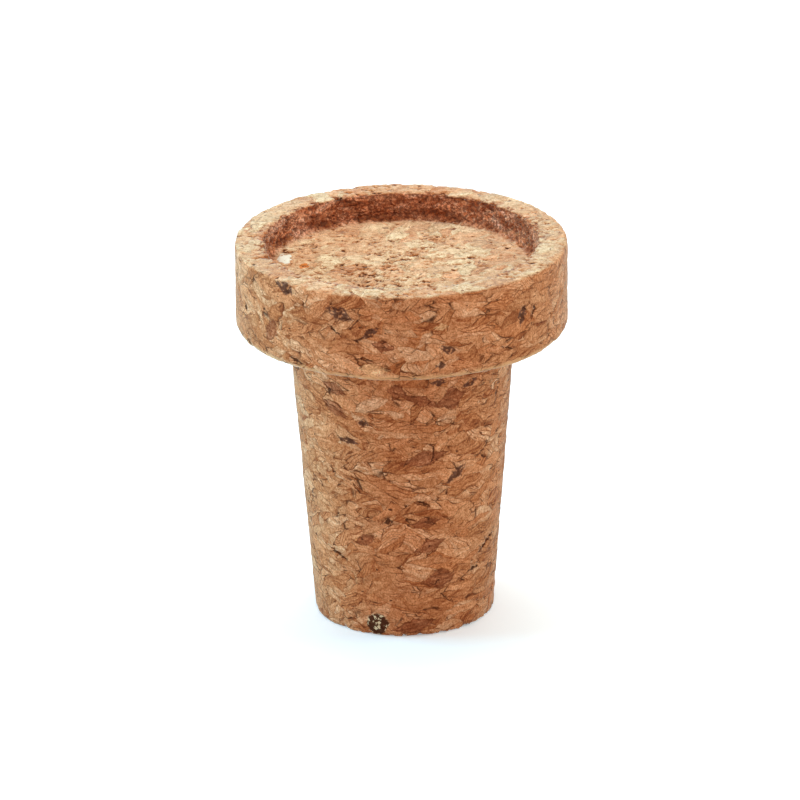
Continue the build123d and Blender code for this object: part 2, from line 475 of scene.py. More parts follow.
def on_dish_wall(tree, place):
    """How far a place in mm belongs to the dish's milled wall and cove, from 0 to 1."""
    radius, height = from_the_axis(tree, place)
    out = {"Value": radius, "From Min": DISH_RADIUS_MM - 1.3, "From Max": DISH_RADIUS_MM - 0.4}
    out = add_node(tree, "ShaderNodeMapRange", out)
    mouth = {"Value": radius, "From Min": DISH_RADIUS_MM + 1.3, "From Max": DISH_RADIUS_MM + 0.4}
    mouth["To Max"] = 0.5
    mouth = add_node(tree, "ShaderNodeMapRange", mouth)
    crumbled = {"Vector": place, "Scale": 1 / CRUMBLED_MOUTH_MM, "Detail": 3.0}
    crumbled = add_node(tree, "ShaderNodeTexNoise", crumbled)
    crumbled = add_node(tree, "ShaderNodeMapRange", {"Value": crumbled, "From Min": 0.52, "From Max": 0.7})
    crumbled = add_node(tree, "ShaderNodeMath", (crumbled, mouth), operation="MULTIPLY")
    under = add_node(tree, "ShaderNodeMath", (height, crumbled), operation="SUBTRACT")
    under = {"Value": under, "From Min": CAP_TOP_MM - 0.05, "From Max": CAP_TOP_MM - 0.25}
    under = add_node(tree, "ShaderNodeMapRange", under)
    share = add_node(tree, "ShaderNodeMath", (out, under), operation="MULTIPLY")
    in_cap = add_node(tree, "ShaderNodeMath", (height, SHOULDER_MM + 2.0), operation="GREATER_THAN")
    share = add_node(tree, "ShaderNodeMath", (share, in_cap), operation="MULTIPLY")
    within = add_node(tree, "ShaderNodeMath", (radius, DISH_RADIUS_MM + 1.5), operation="LESS_THAN")
    return add_node(tree, "ShaderNodeMath", (share, within), operation="MULTIPLY").outputs[0]


def agglomerated_cork(look):
    """Agglomerated cork, pressed in a block, turned and sanded.

    To the eye it is matt and warm: angular flakes from tan to red-brown that lie flat, fine wavy growth
    rings inside them, and thin dark cracks and pores between them. Faces that look up are paler, partly
    dusty and partly with a painted sheen, and have torn pits, darkened partly as painted shade. The dish was
    milled across the flakes into a rough dark wall of crumbs, whose holes are partly painted shade. A broken
    pale line on the cap's lower edge is a painted highlight, painted shade darkens the plug towards its
    end, and the rim is a little darker than the dish's floor."""
    material = bpy.data.materials.new("agglomerated cork, turned and sanded")
    material.use_nodes = True
    tree = material.node_tree
    tree.nodes.clear()
    where = add_node(tree, "ShaderNodeTexCoord")
    place = {0: where.outputs["Object"], "Scale": MM_PER_METRE}
    place = add_node(tree, "ShaderNodeVectorMath", place, operation="SCALE").outputs["Vector"]
    cork = cork_fields(tree, place)

    # Each flake has a tone of its own, with streaks along its rings, and is a greyer or a more orange tan.
    tone = add_node(tree, "ShaderNodeMath", (cork["tone"], 0.85, -0.475), operation="MULTIPLY_ADD")
    tone = add_node(tree, "ShaderNodeMath", (cork["streak"], 1.1, tone), operation="MULTIPLY_ADD")
    flakes = add_node(tree, "ShaderNodeValToRGB", (tone,))
    stops = (
        (0.0, look.dark_flake),
        (0.12, look.red_flake),
        (0.35, look.brown_flake),
        (0.75, look.tan_flake),
        (1.0, look.pale_flake),
    )
    elements = flakes.color_ramp.elements
    while len(elements) < len(stops):
        elements.new(1.0)
    for element, (position, colour) in zip(elements, stops):
        element.position = position
        element.color = (*colour, 1.0)

    tint = {0: cork["hue"], 6: (*look.grey_tint, 1.0), 7: (*look.orange_tint, 1.0)}
    tint = add_node(tree, "ShaderNodeMix", tint, data_type="RGBA")
    flakes = {0: 1.0, 6: flakes, 7: tint}
    flakes = add_node(tree, "ShaderNodeMix", flakes, data_type="RGBA", blend_type="MULTIPLY")

    # Single flakes: red-brown ones with lines along them, and cream ones.
    marks = single_marks(tree, place)
    red = add_node(tree, "ShaderNodeMath", (marks["red"], 0.8), operation="MULTIPLY")
    flake = shaded(tree, tuple(look.red_mark), marks["lines"], 0.6, 1.4)
    colour = add_node(tree, "ShaderNodeMix", {0: red, 6: flakes, 7: flake}, data_type="RGBA")
    cream = add_node(tree, "ShaderNodeMath", (marks["cream"], 0.6), operation="MULTIPLY")
    colour = {0: cream, 6: colour, 7: (*look.cream_and_edge_highlight, 1.0)}
    colour = add_node(tree, "ShaderNodeMix", colour, data_type="RGBA")

    # Faces that look up are paler, partly dusty and partly with a painted sheen; less so on the rim, and not
    # on the dish's wall.
    facing = add_node(tree, "ShaderNodeSeparateXYZ", (where.outputs["Normal"],)).outputs["Z"]
    up = {"Value": facing, "From Min": 0.35, "From Max": 0.95}
    up = add_node(tree, "ShaderNodeMapRange", up)
    dust_and_sheen_amount = add_node(tree, "ShaderNodeMath", (cork["level"], cork["streak"]), operation="ADD")
    dust_and_sheen_amount = {"Value": dust_and_sheen_amount, "From Min": 0.45, "From Max": 1.45}
    dust_and_sheen_amount.update({"To Min": 0.3 * look.dust_and_sheen, "To Max": 1.6 * look.dust_and_sheen})
    dust_and_sheen_amount = add_node(tree, "ShaderNodeMapRange", dust_and_sheen_amount)
    wall = on_dish_wall(tree, place)
    open_top = add_node(tree, "ShaderNodeMath", (1.0, wall), operation="SUBTRACT")
    rubbed = (marks["rubbed"], -0.7, open_top)
    rubbed = add_node(tree, "ShaderNodeMath", rubbed, operation="MULTIPLY_ADD", use_clamp=True)
    dust_and_sheen_amount = add_node(tree, "ShaderNodeMath", (dust_and_sheen_amount, rubbed), operation="MULTIPLY")
    radius, height = from_the_axis(tree, place)
    upper = {"Value": height, "From Min": DISH_FLOOR_MM + 0.8, "From Max": DISH_FLOOR_MM + 2.4}
    upper = add_node(tree, "ShaderNodeMapRange", upper)
    thin = add_node(tree, "ShaderNodeMath", (upper, -0.2, 1.0), operation="MULTIPLY_ADD")
    dust_and_sheen_amount = add_node(tree, "ShaderNodeMath", (dust_and_sheen_amount, thin), operation="MULTIPLY")
    dust_and_sheen_share = add_node(tree, "ShaderNodeMath", (up, dust_and_sheen_amount), operation="MULTIPLY")
    colour = {0: dust_and_sheen_share, 6: colour, 7: (*look.dust_and_sheen_colour, 1.0)}
    colour = add_node(tree, "ShaderNodeMix", colour, data_type="RGBA")
    # The rim is tinted a little darker than the dish's floor.
    rim = add_node(tree, "ShaderNodeMath", (up, upper), operation="MULTIPLY")
    colour = {0: rim, 6: colour, 7: (*look.rim_tint, 1.0)}
    colour = add_node(tree, "ShaderNodeMix", colour, data_type="RGBA", blend_type="MULTIPLY")

    # A broken pale line on the cap's lower edge is a painted highlight, of light from the floor on its
    # rounding. It is laid on below, over the speckle and the grit.
    ragged = add_node(tree, "ShaderNodeMath", (cork["streak"], 1.6, height), operation="MULTIPLY_ADD")
    low = {"Value": ragged, "From Min": SHOULDER_MM + 1.75, "From Max": SHOULDER_MM + 1.4}
    low = add_node(tree, "ShaderNodeMapRange", low)
    out = {"Value": radius, "From Min": CAP_RADIUS_MM - 1.3, "From Max": CAP_RADIUS_MM - 1.0}
    out = add_node(tree, "ShaderNodeMapRange", out)
    edge_highlight = add_node(tree, "ShaderNodeMath", (low, out), operation="MULTIPLY")
    broken = {"Value": cork["streak"], "From Min": 0.3, "From Max": 0.5, "To Max": 0.85}
    broken = add_node(tree, "ShaderNodeMapRange", broken)
    edge_highlight = add_node(tree, "ShaderNodeMath", (edge_highlight, broken), operation="MULTIPLY")

    # Rings and borders show best on the turned sides, which cut across the flakes.
    flat = add_node(tree, "ShaderNodeMath", (facing,), operation="ABSOLUTE")
    cross_cut = {"Value": flat, "From Min": 0.3, "From Max": 0.9, "To Min": 1.0, "To Max": 0.35}
    cross_cut = add_node(tree, "ShaderNodeMapRange", cross_cut)
    grit = add_node(tree, "ShaderNodeTexNoise", {"Vector": place, "Scale": 1 / GRIT_MM, "Detail": 3.0})
    fading = {"Value": grit, "From Min": 0.4, "From Max": 0.6, "To Min": 0.35}
    fading = add_node(tree, "ShaderNodeMapRange", fading)
    fading = add_node(tree, "ShaderNodeMath", (cross_cut, fading), operation="MULTIPLY")
    marked = {"Value": cork["ringed"], "From Min": 0.25, "From Max": 0.95}
    marked = add_node(tree, "ShaderNodeMapRange", marked)
    marked = add_node(tree, "ShaderNodeMath", (marked, red), operation="SUBTRACT", use_clamp=True)
    marked = add_node(tree, "ShaderNodeMath", (marked, fading), operation="MULTIPLY")
    ring = add_node(tree, "ShaderNodeMath", (cork["ring"], marked), operation="MULTIPLY")
    colour = {0: ring, 6: colour, 7: (*look.ring_tint, 1.0)}
    colour = add_node(tree, "ShaderNodeMix", colour, data_type="RGBA", blend_type="MULTIPLY")

    border = add_node(tree, "ShaderNodeMath", (cork["border"], fading), operation="MULTIPLY")
    colour = shaded(tree, colour, border, 1.0, 0.72)
    speck = add_node(tree, "ShaderNodeTexNoise", {"Vector": place, "Scale": 1 / SPECKLE_MM, "Detail": 2.0})
    share = add_node(tree, "ShaderNodeMapRange", {"Value": speck, "From Min": 0.3, "From Max": 0.7})
    colour = shaded(tree, colour, share, 0.69, 1.29)
    share = add_node(tree, "ShaderNodeMapRange", {"Value": grit, "From Min": 0.3, "From Max": 0.7})
    colour = shaded(tree, colour, share, 0.8, 1.19)
    # The painted highlight goes on the cap's lower edge here.
    colour = {0: edge_highlight, 6: colour, 7: (*look.cream_and_edge_highlight, 1.0)}
    colour = add_node(tree, "ShaderNodeMix", colour, data_type="RGBA")
    # Painted shade near the floor: the plug darkens towards its end.
    foot = {"Value": height, "From Min": FOOT_FADE_MM[0], "From Max": FOOT_FADE_MM[1]}
    foot = add_node(tree, "ShaderNodeMapRange", foot)
    colour = {0: foot, 6: colour, 7: (*look.foot_shade, 1.0)}
    colour = add_node(tree, "ShaderNodeMix", colour, data_type="RGBA", blend_type="MULTIPLY")

    # The dish's milled wall: crumbs of their own tones, lighter and darker patches, and dark holes between
    # the crumbs, partly painted shade. The orange chip lies on the floor beside it.
    colour = {0: wall, 6: colour, 7: (*look.wall_tint, 1.0)}
    colour = add_node(tree, "ShaderNodeMix", colour, data_type="RGBA", blend_type="MULTIPLY")
    chance, hole, away = wall_crumbs(tree, place)
    crumbs = shaded(tree, colour, chance, 0.86, 1.16)
    patch = add_node(tree, "ShaderNodeVectorMath", (place, WALL_PATCH_MM), operation="DIVIDE")
    patch = add_node(tree, "ShaderNodeTexNoise", {"Vector": patch, "Scale": 1.0, "Detail": 3.0})
    patch = add_node(tree, "ShaderNodeMapRange", {"Value": patch, "From Min": 0.35, "From Max": 0.65})
    crumbs = shaded(tree, crumbs, patch, 0.6, 1.36)
    colour = add_node(tree, "ShaderNodeMix", {0: wall, 6: colour, 7: crumbs}, data_type="RGBA")
    hole = add_node(tree, "ShaderNodeMath", (hole, wall), operation="MULTIPLY")
    hole = add_node(tree, "ShaderNodeMath", (hole, 0.65), operation="MULTIPLY")
    colour = {0: hole, 6: colour, 7: (*look.bark_and_hole_shade_colour, 1.0)}
    colour = add_node(tree, "ShaderNodeMix", colour, data_type="RGBA")
    colour = {0: marks["orange"], 6: colour, 7: (*look.orange_chip, 1.0)}
    colour = add_node(tree, "ShaderNodeMix", colour, data_type="RGBA")

    # Bits of bark are mottled, with dark cores. The husk has pale grains in a dark bit.
    mottle = {"Vector": place, "Scale": 1 / BARK_MOTTLE_MM, "Detail": 1.0}
    mottle = add_node(tree, "ShaderNodeTexNoise", mottle)
    fleck = {"Value": mottle, "From Min": 0.57, "From Max": 0.64, "To Min": 0.9, "To Max": 0.15}
    fleck = add_node(tree, "ShaderNodeMapRange", fleck)
    share = add_node(tree, "ShaderNodeMapRange", {"Value": grit, "From Min": 0.35, "From Max": 0.65})
    rind = shaded(tree, tuple(look.bark_and_hole_shade_colour), share, 0.6, 1.4)
    core = {"Value": mottle, "From Min": 0.52, "From Max": 0.42, "To Max": 0.55}
    core = add_node(tree, "ShaderNodeMapRange", core)
    rind = {0: core, 6: rind, 7: (*look.pore_and_hollow_shade_colour, 1.0)}
    rind = add_node(tree, "ShaderNodeMix", rind, data_type="RGBA")
    bark = add_node(tree, "ShaderNodeMath", (marks["bark"], fleck), operation="MULTIPLY")
    colour = add_node(tree, "ShaderNodeMix", {0: bark, 6: colour, 7: rind}, data_type="RGBA")
    grain = add_node(tree, "ShaderNodeMapRange", {"Value": away, "From Min": 0.78, "From Max": 0.6})
    there = add_node(tree, "ShaderNodeMath", (chance, 0.66), operation="LESS_THAN")
    grain = add_node(tree, "ShaderNodeMath", (grain, there), operation="MULTIPLY")
    husk = {0: grain, 6: (*look.pore_and_hollow_shade_colour, 1.0), 7: (*look.dust_and_sheen_colour, 1.0)}
    husk = add_node(tree, "ShaderNodeMix", husk, data_type="RGBA")
    share = add_node(tree, "ShaderNodeMath", (marks["husk"], 0.92), operation="MULTIPLY")
    colour = add_node(tree, "ShaderNodeMix", {0: share, 6: colour, 7: husk}, data_type="RGBA")

    # A pit has a fringe of raw cork, a dark middle and a darker core, all partly painted shade in its
    # hollow. Strokes and broken outlines are dark too.
    pit = add_node(tree, "ShaderNodeMath", (torn_pits(tree, place), up), operation="MULTIPLY")
    fringe = add_node(tree, "ShaderNodeMapRange", {"Value": pit, "From Max": 0.4, "To Max": 0.75})
    dots = {"Value": speck, "From Min": 0.6, "From Max": 0.68, "To Max": 0.6}
    dots = add_node(tree, "ShaderNodeMapRange", dots)
    dots = add_node(tree, "ShaderNodeMath", (dots, up), operation="MULTIPLY")
    fringe = add_node(tree, "ShaderNodeMath", (fringe, dots), operation="MAXIMUM")
    colour = {0: fringe, 6: colour, 7: (*look.pit_fringe_colour, 1.0)}
    colour = add_node(tree, "ShaderNodeMix", colour, data_type="RGBA")
    deep = add_node(tree, "ShaderNodeMapRange", {"Value": pit, "From Min": 0.4, "From Max": 0.8})
    dash = add_node(tree, "ShaderNodeMath", (deep, cork["dash"]), operation="MAXIMUM")
    broken = {"Value": grit, "From Min": 0.42, "From Max": 0.58}
    broken = add_node(tree, "ShaderNodeMapRange", broken)
    outline = add_node(tree, "ShaderNodeMath", (marks["outline"], broken), operation="MULTIPLY")
    dash = add_node(tree, "ShaderNodeMath", (dash, outline), operation="MAXIMUM")
    dash = add_node(tree, "ShaderNodeMath", (dash, 0.8), operation="MULTIPLY")
    colour = {0: dash, 6: colour, 7: (*look.stroke_and_pit_shade_colour, 1.0)}
    colour = add_node(tree, "ShaderNodeMix", colour, data_type="RGBA")
    # Cracks and pores are the darkest, and so are voids and the pits' cores, as painted shade in their
    # hollows.
    hollow = add_node(tree, "ShaderNodeMath", (cork["crack"], cross_cut), operation="MULTIPLY")
    hollow = add_node(tree, "ShaderNodeMath", (cork["pore"], hollow), operation="MAXIMUM")
    hollow = add_node(tree, "ShaderNodeMath", (marks["void"], hollow), operation="MAXIMUM")
    core = add_node(tree, "ShaderNodeMapRange", {"Value": pit, "From Min": 0.8})
    hollow = add_node(tree, "ShaderNodeMath", (core, hollow), operation="MAXIMUM")
    hollow = add_node(tree, "ShaderNodeMath", (hollow, 0.85), operation="MULTIPLY")
    colour = {0: hollow, 6: colour, 7: (*look.pore_and_hollow_shade_colour, 1.0)}
    colour = add_node(tree, "ShaderNodeMix", colour, data_type="RGBA")
    chip = shaded(tree, tuple(look.pale_chip), speck, 0.85, 1.1)
    colour = add_node(tree, "ShaderNodeMix", {0: marks["pale"], 6: colour, 7: chip}, data_type="RGBA")

    # Matt all over, with a fine grit that is rougher on the faces that look up.
    roughness = {"Value": speck, "To Min": 0.72, "To Max": 0.95}
    roughness = add_node(tree, "ShaderNodeMapRange", roughness)
    rough = add_node(tree, "ShaderNodeMapRange", {"Value": up, "To Min": 0.5, "To Max": 1.3})
    rough = add_node(tree, "ShaderNodeMath", (grit, rough, speck), operation="MULTIPLY_ADD")
    bump = {"Strength": 0.6, "Distance": GRIT_DEPTH, "Height": rough}
    finish = {
        "Base Color": colour,
        "Roughness": roughness,
        "Normal": add_node(tree, "ShaderNodeBump", bump),
        "IOR": 1.45,
        "Specular IOR Level": 0.06,
        "Sheen Weight": 0.8,
        "Sheen Tint": (*linear(SHEEN_TINT), 1.0),
        "Sheen Roughness": 0.3,
    }
    add_node(tree, "ShaderNodeOutputMaterial", (add_node(tree, "ShaderNodeBsdfPrincipled", finish),))
    return material


def half_section(tree, given):
    """The half section's curve, from the end face's centre round to the dish's centre."""
    # Each corner has its radius, its height, its rounding, the facets in that rounding, and the pitch in mm
    # of the rings on the face that follows it.
    corners = (
        (0.0, 0.0, 0.0, 1, 1.5),
        (given["Plug End Radius"], 0.0, given["Plug End Edge"], 2, 0.5),
        (given["Plug Top Radius"], given["Shoulder"], given["Shoulder Corner"], 2, 0.8),
        (given["Cap Radius"], given["Shoulder"], given["Cap Lower Edge"], 5, 0.36),
        (given["Cap Radius"], given["Cap Top"], given["Cap Top Edge"], 2, 0.26),
        (given["Dish Radius"], given["Cap Top"], given["Dish Mouth"], 2, 0.18),
        (given["Dish Radius"], given["Dish Floor"], given["Dish Cove"], 4, 0.32),
        (0.0, given["Dish Floor"], 0.0, 1, 0.5),
    )
    index = add_node(tree, "GeometryNodeInputIndex")
    kinds = ("VECTOR", "FLOAT", "INT", "FLOAT")
    points, roundings, facets, pitches = (
        add_node(tree, "GeometryNodeIndexSwitch", data_type=kind) for kind in kinds
    )
    for switch in (points, roundings, facets, pitches):
        # A new switch has two items already.
        for _ in corners[2:]:
            switch.index_switch_items.new()
        tree.links.new(index.outputs[0], switch.inputs["Index"])
    for number, (radius, height, rounding, facet_count, pitch_mm) in enumerate(corners):
        point = add_node(tree, "ShaderNodeCombineXYZ", {"X": radius, "Z": height})
        tree.links.new(point.outputs[0], points.inputs[number + 1])
        if rounding:
            tree.links.new(rounding, roundings.inputs[number + 1])
        facets.inputs[number + 1].default_value = facet_count
        pitches.inputs[number + 1].default_value = pitch_mm * MM
    line = add_node(tree, "GeometryNodeMeshLine", {"Count": len(corners)})
    line = add_node(tree, "GeometryNodeSetPosition", {"Geometry": line, "Position": points})
    section = add_node(tree, "GeometryNodeMeshToCurve", (line,))
    section = {"Geometry": section, "Name": "pitch", "Value": pitches}
    section = add_node(tree, "GeometryNodeStoreNamedAttribute", section, data_type="FLOAT", domain="POINT")
    section = {"Curve": section, "Count": facets, "Radius": roundings}
    section = add_node(tree, "GeometryNodeFilletCurve", section, mode="POLY")

    here = add_node(tree, "GeometryNodeInputPosition")
    following = add_node(tree, "GeometryNodeOffsetPointInCurve", {"Point Index": index, "Offset": 1})
    ahead = {"Value": here, "Index": following.outputs["Point Index"]}
    ahead = add_node(tree, "GeometryNodeFieldAtIndex", ahead, data_type="FLOAT_VECTOR", domain="POINT")
    run = add_node(tree, "ShaderNodeVectorMath", (here, ahead), operation="DISTANCE").outputs["Value"]
    pitch = add_node(tree, "GeometryNodeInputNamedAttribute", {"Name": "pitch"}, data_type="FLOAT")
    cuts = add_node(tree, "ShaderNodeMath", (run, pitch), operation="DIVIDE")
    return add_node(tree, "GeometryNodeSubdivideCurve", {"Curve": section, "Cuts": cuts})


def turned(tree, section, segments):
    """The half section turned about Z as a closed skin, with its seam and both centres merged."""
    index = add_node(tree, "GeometryNodeInputIndex")
    rings = add_node(tree, "GeometryNodeAttributeDomainSize", (section,), component="CURVE")
    around = add_node(tree, "ShaderNodeMath", (segments, 1.0), operation="ADD")
    skin = {"Vertices X": rings.outputs["Point Count"], "Vertices Y": around}
    skin = add_node(tree, "GeometryNodeMeshGrid", skin)
    ring = add_node(tree, "ShaderNodeMath", (index, around), operation="DIVIDE")
    ring = add_node(tree, "ShaderNodeMath", (ring,), operation="FLOOR")
    step = add_node(tree, "ShaderNodeMath", (index, around), operation="FLOORED_MODULO")
    angle = add_node(tree, "ShaderNodeMath", (step, segments), operation="DIVIDE")
    angle = add_node(tree, "ShaderNodeMath", (angle, -2 * math.pi), operation="MULTIPLY")
    point = {"Geometry": section, "Value": add_node(tree, "GeometryNodeInputPosition"), "Index": ring}
    point = add_node(tree, "GeometryNodeSampleIndex", point, data_type="FLOAT_VECTOR", domain="POINT")
    point = {"Vector": point, "Angle": angle}
    point = add_node(tree, "ShaderNodeVectorRotate", point, rotation_type="Z_AXIS")
    skin = add_node(tree, "GeometryNodeSetPosition", {"Geometry": skin, "Position": point})
    return add_node(tree, "GeometryNodeMergeByDistance", {"Geometry": skin, "Distance": MERGE_DISTANCE})


def relief(tree, given):
    """How far each place of the skin stands out, along its normal, in metres."""
    place = {0: add_node(tree, "GeometryNodeInputPosition"), "Scale": MM_PER_METRE}
    place = add_node(tree, "ShaderNodeVectorMath", place, operation="SCALE").outputs["Vector"]
    cork = cork_fields(tree, place)
    grain = add_node(tree, "ShaderNodeTexNoise", {"Vector": place, "Scale": 1 / GRAIN_MM, "Detail": 3.0})
    normal = add_node(tree, "GeometryNodeInputNormal")
    up = add_node(tree, "ShaderNodeSeparateXYZ", (normal,)).outputs["Z"]
    up = add_node(tree, "ShaderNodeMapRange", {"Value": up, "From Min": 0.35, "From Max": 0.95})
    grain = add_node(tree, "ShaderNodeMath", (grain, 0.5), operation="SUBTRACT")
    torn = add_node(tree, "ShaderNodeMath", (up, 0.8, 1.0), operation="MULTIPLY_ADD")
    grain = add_node(tree, "ShaderNodeMath", (grain, torn), operation="MULTIPLY")
    rise = add_node(tree, "ShaderNodeMath", (cork["level"], grain), operation="ADD")
    rise = add_node(tree, "ShaderNodeMath", (rise, 0.5), operation="SUBTRACT")
    pit = add_node(tree, "ShaderNodeMath", (torn_pits(tree, place), up), operation="MULTIPLY")
    rise = add_node(tree, "ShaderNodeMath", (pit, -PIT_DEPTH, rise), operation="MULTIPLY_ADD")
    rise = add_node(tree, "ShaderNodeMath", (cork["crack"], -CRACK_DEPTH, rise), operation="MULTIPLY_ADD")
    rise = add_node(tree, "ShaderNodeMath", (cork["pore"], -PORE_DEPTH, rise), operation="MULTIPLY_ADD")

    # Voids and bark lie deeper, and the pale chip stands proud.
    marks = single_marks(tree, place)
    rise = add_node(tree, "ShaderNodeMath", (marks["void"], -VOID_DEPTH, rise), operation="MULTIPLY_ADD")
    rise = add_node(tree, "ShaderNodeMath", (marks["bark"], -BARK_DEPTH, rise), operation="MULTIPLY_ADD")
    rise = add_node(tree, "ShaderNodeMath", (marks["pale"], CHIP_HEIGHT, rise), operation="MULTIPLY_ADD")
    rise = add_node(tree, "ShaderNodeMath", (rise, given["Granule Relief"]), operation="MULTIPLY")

    chance, hole = wall_crumbs(tree, place)[:2]
    crumb = add_node(tree, "ShaderNodeMath", (chance, 0.8, -0.2), operation="MULTIPLY_ADD")
    crumb = add_node(tree, "ShaderNodeMath", (crumb, hole), operation="SUBTRACT")
    crumb = add_node(tree, "ShaderNodeMath", (crumb, on_dish_wall(tree, place)), operation="MULTIPLY")
    rise = add_node(tree, "ShaderNodeMath", (crumb, given["Wall Crumble"], rise), operation="MULTIPLY_ADD")

    # Chips are bitten out of the edges: how near an edge is, times that edge's share of the bite.
    radius, height = from_the_axis(tree, place)
    seen = add_node(tree, "ShaderNodeCombineXYZ", {"X": radius, "Z": height})
    near = 0.0
    for edge_radius, edge_height, share in (
        (given["Cap Radius"], given["Cap Top"], 0.6),
        (given["Dish Radius"], given["Cap Top"], 1.3),
        (given["Plug End Radius"], 0.0, 1.0),
        (given["Cap Radius"], given["Shoulder"], 0.4),
    ):
        edge = add_node(tree, "ShaderNodeCombineXYZ", {"X": edge_radius, "Z": edge_height})
        edge = add_node(tree, "ShaderNodeVectorMath", {0: edge, "Scale": MM_PER_METRE}, operation="SCALE")
        away = add_node(tree, "ShaderNodeVectorMath", (seen, edge), operation="DISTANCE").outputs["Value"]
        away = {"Value": away, "From Min": 1.0, "From Max": 0.2, "To Max": share}
        away = add_node(tree, "ShaderNodeMapRange", away, interpolation_type="SMOOTHSTEP")
        near = add_node(tree, "ShaderNodeMath", (away, near), operation="MAXIMUM")
    bite = add_node(tree, "ShaderNodeTexNoise", {"Vector": place, "Scale": 1 / EDGE_CHIP_MM, "Detail": 3.0})
    bite = add_node(tree, "ShaderNodeMapRange", {"Value": bite, "From Min": 0.5, "From Max": 0.75})
    bite = add_node(tree, "ShaderNodeMath", (bite, near), operation="MULTIPLY")
    bite = add_node(tree, "ShaderNodeMath", (bite, given["Edge Chips"]), operation="MULTIPLY")
    return add_node(tree, "ShaderNodeMath", (rise, bite), operation="SUBTRACT")


def turned_body_tree(inputs):
    """A tree that turns the half section about Z and gives it the granules' relief."""
    tree = bpy.data.node_groups.new("turned cork body", "GeometryNodeTree")
    tree.interface.new_socket("Geometry", in_out="INPUT", socket_type="NodeSocketGeometry")
    for name, value in inputs.items():
        kind = {int: "NodeSocketInt", float: "NodeSocketFloat"}.get(type(value), "NodeSocketMaterial")
        tree.interface.new_socket(name, in_out="INPUT", socket_type=kind)
    tree.interface.new_socket("Geometry", in_out="OUTPUT", socket_type="NodeSocketGeometry")
    given = add_node(tree, "NodeGroupInput").outputs
    skin = turned(tree, half_section(tree, given), given["Segments"])
    normal = add_node(tree, "GeometryNodeInputNormal")
    offset = {0: normal, "Scale": relief(tree, given)}
    offset = add_node(tree, "ShaderNodeVectorMath", offset, operation="SCALE")
    skin = add_node(tree, "GeometryNodeSetPosition", {"Geometry": skin, "Offset": offset})
    here = add_node(tree, "GeometryNodeInputPosition")
    lowest = (-1.0, -1.0, FLOOR_CLEARANCE)
    here = add_node(tree, "ShaderNodeVectorMath", (here, lowest), operation="MAXIMUM")
    skin = add_node(tree, "GeometryNodeSetPosition", {"Geometry": skin, "Position": here})
    skin = add_node(tree, "GeometryNodeSetShadeSmooth", {"Geometry": skin, "Shade Smooth": True})
    skin = add_node(tree, "GeometryNodeRealizeInstances", {"Geometry": skin})
    skin = add_node(tree, "GeometryNodeSetMaterial", {"Geometry": skin, "Material": given["Material"]})
    add_node(tree, "NodeGroupOutput", (skin,))
    return tree


LENGTH = {"subtype": "DISTANCE", "unit": "LENGTH"}
ANGLE = {"subtype": "ANGLE", "unit": "ROTATION"}


class StopperSizes(bpy.types.PropertyGroup):
    """Sizes of the turned body and of its relief."""

    cap_radius: bpy.props.FloatProperty(
        name="Cap radius", description="Radius of the cap", default=CAP_RADIUS, **LENGTH
    )
    cap_top: bpy.props.FloatProperty(
        name="Cap top", description="Height of the rim", default=CAP_TOP, **LENGTH
    )
    shoulder: bpy.props.FloatProperty(
        name="Shoulder", description="Height of the cap's underside", default=SHOULDER, **LENGTH
    )
    dish_radius: bpy.props.FloatProperty(
        name="Dish radius", description="Radius of the dish", default=DISH_RADIUS, **LENGTH
    )
    dish_floor: bpy.props.FloatProperty(
        name="Dish floor", description="Height of the dish's floor", default=DISH_FLOOR, **LENGTH
    )
    plug_top_radius: bpy.props.FloatProperty(
        name="Plug top radius", description="Radius of the plug at its top", default=PLUG_TOP_RADIUS, **LENGTH
    )
    plug_end_radius: bpy.props.FloatProperty(
        name="Plug end radius", description="Radius of the plug at its end", default=PLUG_END_RADIUS, **LENGTH
    )
    granule_relief: bpy.props.FloatProperty(
        name="Granule relief", description="Height of flakes above each other", default=0.12 * MM, **LENGTH
    )
    wall_crumble: bpy.props.FloatProperty(
        name="Wall crumble", description="Roughness of the dish's milled wall", default=0.32 * MM, **LENGTH
    )
    edge_chips: bpy.props.FloatProperty(
        name="Edge chips", description="Depth of the chips along the edges", default=0.4 * MM, **LENGTH
    )


